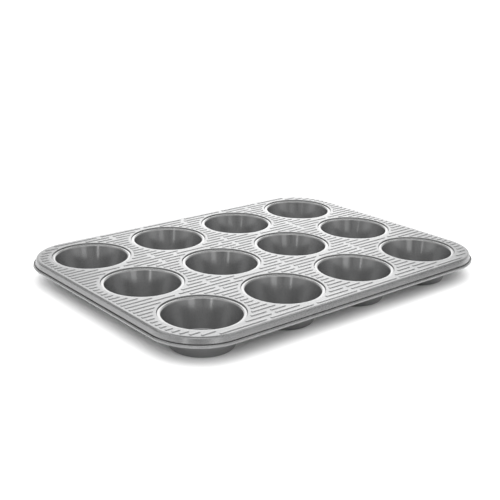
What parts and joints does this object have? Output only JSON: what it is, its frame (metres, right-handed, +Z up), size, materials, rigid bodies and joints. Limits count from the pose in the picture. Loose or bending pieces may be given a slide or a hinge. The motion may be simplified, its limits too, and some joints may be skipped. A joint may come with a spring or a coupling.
{
  "type": "muffin tin",
  "caption": "Rectangular ribbed steel baking tin with rounded corners, drawn round cups in a grid and a wired, rolled rim.",
  "frame": {"origin": "under the middle of the tin, on the surface that the cups stand on", "axes": "+X along the side with four cups, +Y along the side with three cups, from front to back, +Z up"},
  "size_m": [0.3782, 0.2812, 0.03],
  "materials": {
    "sheet_steel": "satin, mid grey, thin baked coating",
    "cup_steel": "satin, mid grey, thin baked coating",
    "wire_steel": "drawn steel wire"
  },
  "bodies": {
    "root": {"tray_plate": "sheet_steel", "rim_wire": "wire_steel", "cup_front_1": "cup_steel", "cup_front_2": "cup_steel", "cup_front_3": "cup_steel", "cup_front_4": "cup_steel", "cup_middle_1": "cup_steel", "cup_middle_2": "cup_steel", "cup_middle_3": "cup_steel", "cup_middle_4": "cup_steel", "cup_back_1": "cup_steel", "cup_back_2": "cup_steel", "cup_back_3": "cup_steel", "cup_back_4": "cup_steel"}
  },
  "joints": []
}
